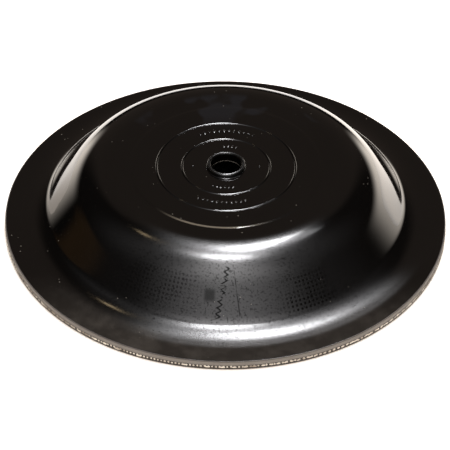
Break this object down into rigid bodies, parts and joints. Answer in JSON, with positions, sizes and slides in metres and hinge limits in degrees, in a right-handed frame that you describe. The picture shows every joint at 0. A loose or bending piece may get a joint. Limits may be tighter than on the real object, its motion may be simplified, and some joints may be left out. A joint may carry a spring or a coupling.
{
  "type": "pump diaphragm",
  "caption": "Dished round rubber diaphragm with a flat clamping flange, steep rounded wall, flat crown plate with raised rings and a collared centre hole.",
  "frame": {"origin": "centre of the cut rim, in the plane of the flange underside", "axes": "+Z from the flange underside up to the crown plate, along the bore; +Y from the wide side of the flange towards its narrow side, so the dish's axis stands at +Y; +X across, in the plane of the flange"},
  "size_m": [0.3, 0.3, 0.0477],
  "materials": {
    "rubber": "smooth moulded gloss, weave showing faintly through"
  },
  "bodies": {
    "root": {"diaphragm": "rubber"}
  },
  "joints": []
}
